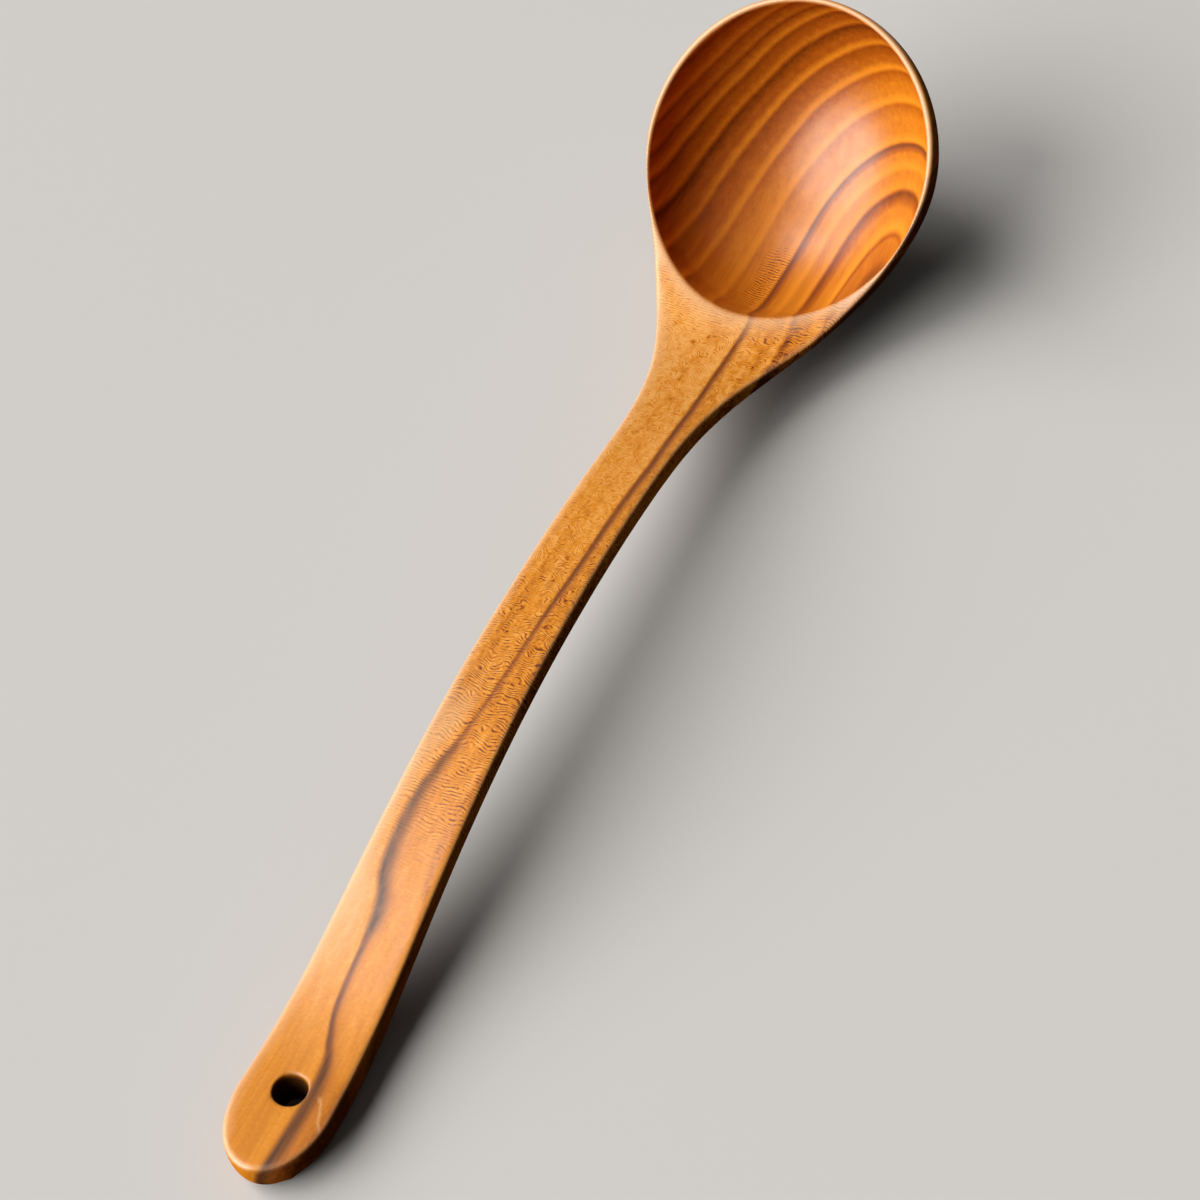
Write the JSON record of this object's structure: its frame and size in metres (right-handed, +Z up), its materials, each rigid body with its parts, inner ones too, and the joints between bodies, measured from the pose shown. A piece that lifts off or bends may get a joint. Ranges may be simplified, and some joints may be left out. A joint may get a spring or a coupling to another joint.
{
  "type": "wooden ladle",
  "caption": "Wooden ladle carved from one piece: a deep round bowl tilted up from a flared neck, and an arched handle with a hanging hole near its rounded tail.",
  "frame": {"origin": "bottom centre of the bounding box, on the table that the ladle lies on", "axes": "+X from the tail of the handle towards the bowl, +Y to the left of that, +Z up"},
  "size_m": [0.3474, 0.081, 0.0711],
  "materials": {
    "oiled_wood": "oiled, satin"
  },
  "bodies": {
    "root": {"ladle": "oiled_wood"}
  },
  "joints": []
}
